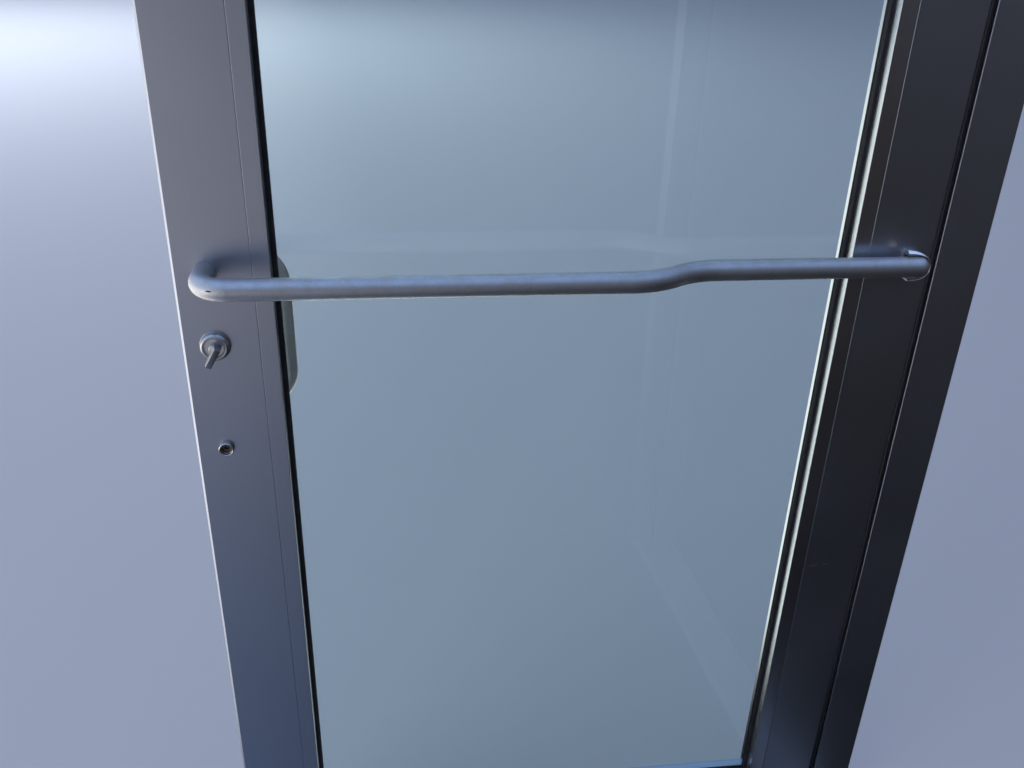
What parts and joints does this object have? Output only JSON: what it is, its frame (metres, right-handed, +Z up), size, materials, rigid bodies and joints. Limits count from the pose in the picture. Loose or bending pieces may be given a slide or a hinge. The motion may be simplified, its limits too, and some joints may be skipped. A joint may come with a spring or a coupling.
{
  "type": "glazed aluminium entrance door with frame",
  "caption": "Outward-opening glazed aluminium door leaf on offset pivots in its frame, with push bar, pull handle, thumbturn deadlock and threshold.",
  "frame": {"origin": "on the floor under the threshold, in the middle of the clear opening and of the frame's depth", "axes": "+Z up, +X towards the hinge jamb, +Y to the outside, where the leaf opens"},
  "size_m": [1.0032, 1.0169, 2.1781],
  "materials": {
    "frame_anodised": "clear satin anodised",
    "leaf_anodised": "clear satin anodised",
    "bar_anodised": "clear anodised, brushed along its length",
    "threshold_mill": "mill finish, fluted",
    "clip_mill": "mill finish",
    "black_rubber": "matt black",
    "glass": "clear tempered",
    "satin_hardware": "satin chrome look",
    "brass_lock": "satin nickelled brass",
    "steel": "zinc plated"
  },
  "bodies": {
    "frame": {"hinge_jamb": "frame_anodised", "lock_jamb": "frame_anodised", "header": "frame_anodised", "header_clips": "clip_mill", "threshold": "threshold_mill", "hinge_door_stop": "frame_anodised", "lock_door_stop": "frame_anodised", "header_door_stop": "frame_anodised", "hinge_bulb_seal": "black_rubber", "lock_bulb_seal": "black_rubber", "header_bulb_seal": "black_rubber", "strike_plate": "satin_hardware", "strike_screws": "steel", "bottom_pivot": "steel", "top_pivot": "steel", "pivot_screws": "steel"},
    "leaf": {"lock_stile": "leaf_anodised", "hinge_stile": "leaf_anodised", "top_rail": "leaf_anodised", "bottom_rail": "leaf_anodised", "corner_clips": "clip_mill", "tie_rods": "steel", "glass_pane": "glass", "setting_blocks": "black_rubber", "inner_gasket": "black_rubber", "outer_gasket": "black_rubber", "inner_lock_glazing_stop": "leaf_anodised", "inner_hinge_glazing_stop": "leaf_anodised", "inner_bottom_glazing_stop": "leaf_anodised", "inner_top_glazing_stop": "leaf_anodised", "outer_lock_glazing_stop": "leaf_anodised", "outer_hinge_glazing_stop": "leaf_anodised", "outer_bottom_glazing_stop": "leaf_anodised", "outer_top_glazing_stop": "leaf_anodised", "door_sweep": "black_rubber", "push_bar": "bar_anodised", "bar_socket": "bar_anodised", "bar_screw": "steel", "pull_handle": "bar_anodised", "handle_bolts": "steel", "bolt_ferrule": "satin_hardware", "lock_case": "steel", "lock_faceplate": "satin_hardware", "faceplate_screws": "steel", "thumbturn_cylinder": "satin_hardware", "thumbturn_collar": "satin_hardware", "cylinder_ring": "satin_hardware", "key_cylinder": "brass_lock", "bottom_pivot_arm": "steel", "top_pivot_arm": "steel", "arm_screws": "steel"},
    "thumbturn": {"thumbturn": "satin_hardware"},
    "deadbolt": {"deadbolt": "steel"},
    "cylinder_plug": {"cylinder_plug": "brass_lock"}
  },
  "joints": [
    {"name": "door_swing", "type": "hinge", "parent": "frame", "child": "leaf", "pos_m": [0.43495, 0.0762, 0], "axis": [0, 0, -1], "range_deg": [-85, 20]},
    {"name": "thumbturn_turn", "type": "hinge", "parent": "leaf", "child": "thumbturn", "pos_m": [0.29753, 0.91828, 0.9771], "axis": [-0.9962, -0.0872, 0], "range_deg": [0, 90]},
    {"name": "bolt_swing", "type": "hinge", "parent": "leaf", "child": "deadbolt", "pos_m": [0.31827, 0.93625, 0.939], "axis": [-0.9962, -0.0872, 0], "range_deg": [0, 90]},
    {"name": "plug_turn", "type": "hinge", "parent": "leaf", "child": "cylinder_plug", "pos_m": [0.34182, 0.92215, 0.9771], "axis": [0.9962, 0.0872, 0], "range_deg": [-180, 180]}
  ],
  "couplings": [
    {"joint": "bolt_swing", "follows": "thumbturn_turn", "ratio": 1}
  ]
}
